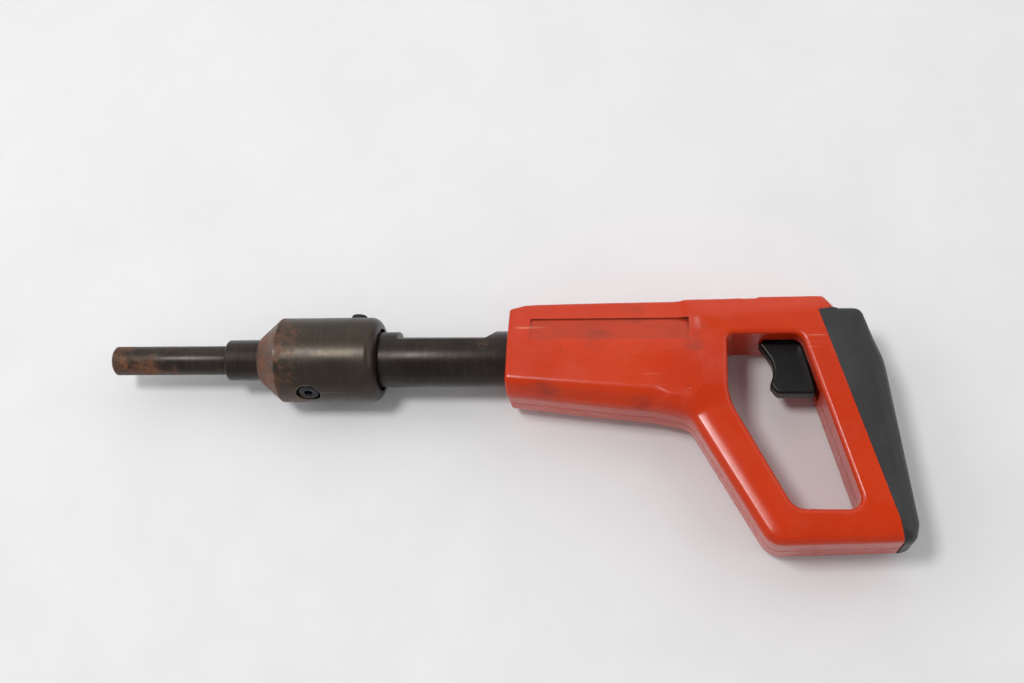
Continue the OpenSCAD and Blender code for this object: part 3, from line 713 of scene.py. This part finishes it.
def urethane():
    """Cast amber urethane with cloudy depth and grey smears."""
    n = Nodes("buffer_urethane")
    colour = n.mix(n.ramp(n.noise(80, 5), 0.3, 0.7), (0.42, 0.22, 0.035), (0.30, 0.14, 0.022))
    colour = n.mix(n.ramp(n.noise(200, 6, 0.7), 0.55, 0.75, 0.0, 0.7), colour, (0.09, 0.07, 0.05))
    return n.done(Base_Color=colour, Roughness=n.ramp(n.noise(150, 4), 0.3, 0.7, 0.3, 0.5),
                  Normal=n.bump(n.noise(600, 4), 0.05, 0.6))


MATERIALS = {
    "orange_shell": orange_shell(),
    "rubber_pad": rubber("rubber_pad", (0.013, 0.0133, 0.0145), (0.022, 0.0224, 0.0236), 0.50),
    "trigger_plastic": rubber("trigger_plastic", (0.0035, 0.0032, 0.0032),
                              (0.006, 0.0056, 0.0056), 0.40, 0.25),
    "blued_steel": patina_steel("blued_steel", -78, -104, 0.19, 0.8, pale=(-107, -60), cone=-104.8),
    "rusted_steel": patina_steel("rusted_steel", -128, -170, 0.18, 0.95),
    "bright_steel": bright_steel("bright_steel", (0.46, 0.45, 0.43), 0.30),
    "spring_steel": bright_steel("spring_steel", (0.34, 0.33, 0.32), 0.34, (1.5, 1.5, 1.5)),
    "screw_black": black_screw(),
    "buffer_urethane": urethane(),
    "bumper_rubber": rubber("bumper_rubber", (0.010, 0.010, 0.010), (0.02, 0.02, 0.02), 0.6),
}
SLOTS = {s["node"]: s["material_slot"] for s in frame["record"]["subparts"]}


def finish_piece(obj, body, node, slot=None):
    """Gives a piece its material and its body, and hides the CAD node that it stands for."""
    slot = slot or SLOTS[node]
    obj.data.materials.clear()
    obj.data.materials.append(MATERIALS[slot])
    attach(obj, body)
    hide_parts(node)
    return obj


# ---- Housing, pad and trigger ----

HALF_LOW, HALF_HIGH, HOUSING_STEP = (-0.9, -88, -0.6), (172, 25.9, 19.4), 0.8


def housing_half(name, node, right):
    obj = contoured(name, lambda x, y, z: housing_shell(x, y, z, right),
                    HALF_LOW, HALF_HIGH, HOUSING_STEP, right, tool_box(node))
    return finish_piece(obj, "housing", node)


housing_half("left_shell", "housing_left", False)
housing_half("right_shell", "housing_right", True)
finish_piece(contoured("grip_pad", pad_field, (136, -86.5, -17.4), (177.5, 19.5, 17.4), 0.8,
                       box=tool_box("back_pad")),
             "housing", "back_pad")
finish_piece(contoured("trigger_piece", trigger_field, (111, -19, -5), (138.5, 19, 5.2), 0.5),
             "trigger", "trigger")


# ---- Turned steel parts ----

def extruded(name, points, depth):
    """A prism of an outline in the XY plane, from z = -depth to z = depth."""
    count = len(points)
    solid = [(x, y, z) for z in (-depth, depth) for x, y in points]
    faces = [(i, (i + 1) % count, count + (i + 1) % count, count + i) for i in range(count)]
    faces += [tuple(reversed(range(count))), tuple(range(count, 2 * count))]
    return mesh_object(name, solid, faces)


def turned_about_barrel(obj, angle):
    """Turns an object's mesh about the barrel's axis, from the top towards the left side."""
    turn = np.array([[1, 0, 0], [0, math.cos(angle), -math.sin(angle)],
                     [0, math.sin(angle), math.cos(angle)]])
    for vertex in obj.data.vertices:
        vertex.co = Vector(turn @ np.array(vertex.co - ORIGIN)) + ORIGIN
    return obj


def upright(name, profile, x, angle, steps=48):
    """A lathe along the radius that stands on the barrel's axis at x, at an angle from the top."""
    obj = lathe(name, profile, steps)
    for vertex in obj.data.vertices:
        along, across, side = (vertex.co - ORIGIN) / MM
        vertex.co = ORIGIN + Vector((x - across, along, side)) * MM
    return turned_about_barrel(obj, angle)


def hexagon(name, x, low, high, r, angle):
    """A six-sided prism along the radius at x, to cut a screw's socket."""
    return upright(name, [(low, 0), (low, r), (high, r), (high, 0)], x, angle, 6)


LOCK_ANGLE = math.radians(161)     # both collar screws, from the top towards the left side
STOP_ANGLE = 0.0
LOCK_X, STOP_X = -90.4, -70.6
LOCK_SEAT_R = 15.4
COLLAR_R = tool_box("muzzle_collar")[1].z
COLLAR_EDGE_R = 4.8
CONE_LEN = 10.4
COUNTERBORE_R = 5.7
BUMPER_R, BUMPER_ROOM_LEN = 14.4, 4.4
BARREL_BORE_R, CHAMBER_R = 8, 10
FLAT_X = (-50, -2.7)               # the flat's front end and the top of its ramp
GUIDE_R, GUIDE_STEM_R, GUIDE_BORE_R, GUIDE_REAR_X = 6.75, 6.4, 4.05, -112
BUSHING_R = 9.5
FLANGE_X = (-108, -104)            # the bushing's flange
PISTON_R, DRIVE_PIN_R, RING_GROOVE_R = 7.95, 3.95, 6.4
RING_AT, RING_W = (4, 9), 2        # behind the piston's face


def barrel_tube():
    front, rear = (corner.x for corner in tool_box("barrel_tube"))
    chamber_front = tool_box("chamber")[0].x
    obj = lathe("barrel", [(front, BARREL_BORE_R), (front, BARREL_R), (rear, BARREL_R),
                           (rear, CHAMBER_R), (chamber_front, CHAMBER_R),
                           (chamber_front, BARREL_BORE_R)], 128)
    deep = BARREL_R - FLAT_DEPTH
    flat = extruded("flat", [(FLAT_X[0], 14), (FLAT_X[0], deep + 0.5), (-49.4, deep),
                             (-10.2, deep), (-9.4, deep + 0.15), (FLAT_X[1], 14)], 15)
    cut(obj, turned_about_barrel(flat, FLAT_TILT))
    return finish_piece(bevel(obj, 0.3), "barrel", "barrel_tube")


def muzzle_collar():
    front, rear = (corner.x for corner in tool_box("muzzle_collar"))
    cone_end = front + CONE_LEN
    room_x = rear - BUMPER_ROOM_LEN
    edge = [(rear - COLLAR_EDGE_R + COLLAR_EDGE_R * math.sin(a),
             COLLAR_R - COLLAR_EDGE_R + COLLAR_EDGE_R * math.cos(a))
            for a in np.linspace(0, math.pi / 2, 9)]
    obj = lathe("collar", [(front, 9.51), (front, 10.4), (front + 0.4, 10.95), (cone_end, COLLAR_R),
                           *edge, (rear, BUMPER_R), (room_x, BUMPER_R),
                           (room_x, BARREL_R + 0.01), (FLANGE_X[0], BARREL_R + 0.01),
                           (FLANGE_X[0], 9.51)], 128)
    cut(obj, upright("room", [(LOCK_SEAT_R, 0.02), (LOCK_SEAT_R, COUNTERBORE_R),
                              (25, COUNTERBORE_R), (25, 0.02)], LOCK_X, LOCK_ANGLE))
    for x, angle in ((LOCK_X, LOCK_ANGLE), (STOP_X, STOP_ANGLE)):
        cut(obj, upright("hole", [(10, 0.02), (10, 3.02), (25, 3.02), (25, 0.02)], x, angle))
    return finish_piece(bevel(obj, 0.35, 3), "barrel", "muzzle_collar")


def cap_screw(name, node, x, angle, seat, head_r, head_h, socket_r):
    """A socket screw whose head sits at radius seat."""
    top = seat + head_h
    obj = upright(name, [(BARREL_R + 0.02, 0.02), (BARREL_R + 0.02, 2.8), (13.2, 3), (seat, 3),
                         (seat, head_r), (top - 0.7, head_r), (top - 0.25, head_r - 0.25),
                         (top, head_r - 0.8), (top, 0.02)], x, angle, 64)
    cut(obj, hexagon("socket", x, top - 2, top + 1, socket_r, angle))
    return finish_piece(bevel(obj, 0.12), "barrel", node)


def turned_part(name, node, body, profile, width=0.25, steps=96):
    return finish_piece(bevel(lathe(name, profile, steps), width), body, node)


def piston():
    front = tool_box("piston")[0].x
    face, rear = tool_box("piston_rings")[0].x - RING_AT[0], tool_box("piston")[1].x
    profile = [(front, 0.02), (front, 2.6), (front + 1.2, DRIVE_PIN_R), (face - 6, DRIVE_PIN_R),
               (face, PISTON_R)]
    for start in (face + at for at in RING_AT):
        profile += [(start, PISTON_R), (start, RING_GROOVE_R), (start + RING_W, RING_GROOVE_R),
                    (start + RING_W, PISTON_R)]
    profile += [(rear, PISTON_R), (rear, 0.02)]
    return turned_part("drive_piston", "piston", "piston", profile, 0.2)


barrel_tube()
muzzle_collar()
cap_screw("lock_screw", "collar_lock_screw", LOCK_X, LOCK_ANGLE, LOCK_SEAT_R, 4.8, 3.4, 2.3)
cap_screw("stop_screw", "collar_stop_screw", STOP_X, STOP_ANGLE, COLLAR_R, 3.7, 2.0, 1.8)
bushing_x = tool_box("guide_bushing")[0].x
guide_x = tool_box("fastener_guide")[0].x
turned_part("bushing", "guide_bushing", "barrel",
            [(bushing_x, GUIDE_STEM_R), (bushing_x, 8.7), (bushing_x + 0.8, BUSHING_R),
             (FLANGE_X[0], BUSHING_R), (FLANGE_X[0], 12.6), (FLANGE_X[1], 12.6),
             (FLANGE_X[1], GUIDE_BORE_R), (GUIDE_REAR_X, GUIDE_BORE_R),
             (GUIDE_REAR_X, GUIDE_STEM_R)])
turned_part("nail_guide", "fastener_guide", "barrel",
            [(guide_x, GUIDE_BORE_R + 0.5), (guide_x, GUIDE_R - 1.1), (guide_x + 1, GUIDE_R),
             (bushing_x - 0.2, GUIDE_R), (bushing_x - 0.2, GUIDE_STEM_R),
             (GUIDE_REAR_X, GUIDE_STEM_R), (GUIDE_REAR_X, GUIDE_BORE_R),
             (guide_x + 0.5, GUIDE_BORE_R)])
bumper_x = [corner.x for corner in tool_box("barrel_bumper")]
turned_part("rear_bumper", "barrel_bumper", "barrel",
            [(bumper_x[0], BARREL_R), (bumper_x[0], BUMPER_R), (bumper_x[1], BUMPER_R),
             (bumper_x[1], BARREL_R)], 0.5)
turned_part("piston_buffer", "buffer", "barrel",
            [(FLANGE_X[1], 4.4), (FLANGE_X[1], 12.5), (-92.3, 12.5), (-92.3, 8.4), (-98.6, 4.4)],
            0.4)
piston()

spring("firing_spring", "firing_pin_spring", 0, 0.55, 8, "housing")
spring("sear_coil", "sear_spring", 1, 0.24, 9, "housing")
spring("trigger_coil", "trigger_spring", 0, 0.35, 9, "housing")

# The parts whose CAD shape is the finished one keep it, with their edges broken
for node, obj in frame["nodes"].items():
    if not obj.hide_render:
        obj.data.materials.clear()
        obj.data.materials.append(MATERIALS[SLOTS[node]])
        weld = obj.modifiers.new("weld", "WELD")
        weld.merge_threshold = 1e-5
        soft = obj.modifiers.new("edges", "BEVEL")
        soft.width = 0.15 * MM
        soft.segments = 2
        soft.limit_method = "ANGLE"
        soft.angle_limit = math.radians(35)
        soft.harden_normals = True


# ---- Floor, light and camera ----

def floor():
    n = Nodes("pale_board")
    colour = n.mix(n.ramp(n.noise(14, 4), 0.3, 0.7), (0.77, 0.77, 0.775), (0.74, 0.74, 0.745))
    rough = n.ramp(n.noise(40, 4), 0.3, 0.7, 0.5, 0.65)
    material = n.done(Base_Color=colour, Roughness=rough, Specular_IOR_Level=0.3)
    half = 6.0
    corners = [(-half, -half, 0), (half, -half, 0), (half, half, 0), (-half, half, 0)]
    mesh = bpy.data.meshes.new("floor")
    mesh.from_pydata(corners, [], [(0, 1, 2, 3)])
    obj = bpy.data.objects.new("floor", mesh)
    bpy.context.scene.collection.objects.link(obj)
    mesh.materials.append(material)


def sky():
    world = bpy.data.worlds.new("studio")
    bpy.context.scene.world = world
    world.use_nodes = True
    tree = world.node_tree
    background = tree.nodes["Background"]
    background.inputs["Strength"].default_value = 0.46
    place = tree.nodes.new("ShaderNodeTexCoord")
    split = tree.nodes.new("ShaderNodeSeparateXYZ")
    ramp = tree.nodes.new("ShaderNodeValToRGB")
    tree.links.new(place.outputs["Generated"], split.inputs[0])
    tree.links.new(split.outputs["Z"], ramp.inputs[0])
    tree.links.new(ramp.outputs[0], background.inputs["Color"])
    stops = ramp.color_ramp.elements
    stops[0].position, stops[0].color = 0.0, (0.9, 0.9, 0.92, 1)
    stops[1].position, stops[1].color = 1.0, (0.36, 0.36, 0.38, 1)
    middle = stops.new(0.55)
    middle.color = (1.0, 1.0, 1.02, 1)


def area_light(name, toward, distance, size, power):
    """A square light in the direction toward from the object, facing it."""
    light = bpy.data.lights.new(name, "AREA")
    light.size, light.energy = size, power
    obj = bpy.data.objects.new(name, light)
    direction = Vector(toward).normalized()
    obj.location = direction * distance
    obj.rotation_mode = "QUATERNION"
    obj.rotation_quaternion = (-direction).to_track_quat("-Z", "Y")
    bpy.context.scene.collection.objects.link(obj)


CAMERA_PLACE = (0.0887, -0.1566, 0.5997)
CAMERA_ANGLES = (18.76, 7.31, 2.07)
CAMERA_LENS = 47.46


def camera():
    data = bpy.data.cameras.new("camera")
    data.lens, data.sensor_width = CAMERA_LENS, 36
    data.clip_start, data.clip_end = 0.01, 50
    obj = bpy.data.objects.new("camera", data)
    obj.location = CAMERA_PLACE
    obj.rotation_euler = [math.radians(a) for a in CAMERA_ANGLES]
    bpy.context.scene.collection.objects.link(obj)
    bpy.context.scene.camera = obj


floor()
sky()
area_light("key", (-0.27, 0.06, 0.96), 1.5, 0.3, 9.5)
area_light("back", (0.0, 0.79, 0.61), 1.8, 2.4, 10.5)
area_light("left", (-0.8, 0.15, 0.55), 1.5, 1.0, 4.5)
area_light("right", (0.8, 0.1, 0.55), 1.6, 1.6, 7.0)
camera()
bpy.context.scene.view_settings.view_transform = "Standard"
